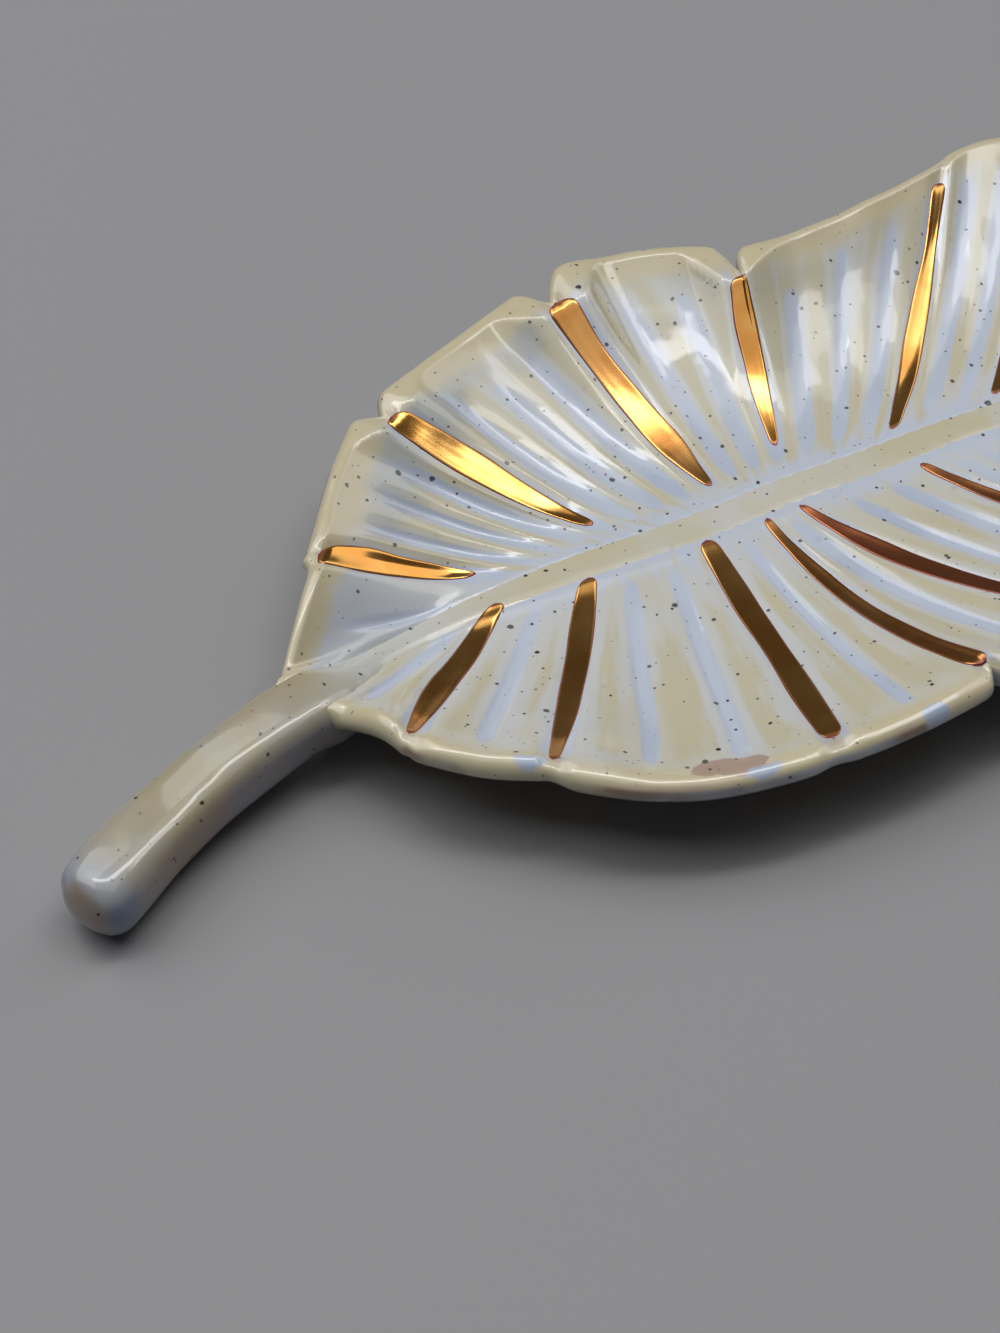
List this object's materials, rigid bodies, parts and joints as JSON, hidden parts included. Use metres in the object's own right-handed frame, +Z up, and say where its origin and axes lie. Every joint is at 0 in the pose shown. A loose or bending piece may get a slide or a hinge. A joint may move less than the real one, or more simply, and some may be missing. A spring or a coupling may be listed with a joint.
{
  "type": "ring dish",
  "caption": "Shallow leaf-shaped stoneware ring dish with a raised midrib, carved veins, a wavy torn rim, a rolled stem handle and gold-brushed veins.",
  "frame": {"origin": "middle of the flat ground face on the underside, on the table under the middle of the leaf", "axes": "+X along the midrib from the stem to the leaf's tip, +Y to the side away from the stem's bend, +Z up out of the dish"},
  "size_m": [0.2229, 0.096, 0.0149],
  "materials": {
    "glazed_slab": "speckled cream glaze, pooling blue-white in the carved veins, gloss",
    "glazed_stem": "speckled khaki-cream glaze, lilac where thin, gloss",
    "gold_lustre": "hand-brushed gold lustre, polished by the glaze below it"
  },
  "bodies": {
    "root": {"leaf_slab": "glazed_slab", "stem_midrib": "glazed_stem", "gold_far_1": "gold_lustre", "gold_far_2": "gold_lustre", "gold_far_3": "gold_lustre", "gold_far_4": "gold_lustre", "gold_far_5": "gold_lustre", "gold_far_6": "gold_lustre", "gold_far_7": "gold_lustre", "gold_far_8": "gold_lustre", "gold_near_1": "gold_lustre", "gold_near_2": "gold_lustre", "gold_near_3": "gold_lustre", "gold_near_4": "gold_lustre", "gold_near_5": "gold_lustre", "gold_near_6": "gold_lustre", "gold_near_7": "gold_lustre", "gold_near_8": "gold_lustre", "gold_near_9": "gold_lustre"}
  },
  "joints": []
}
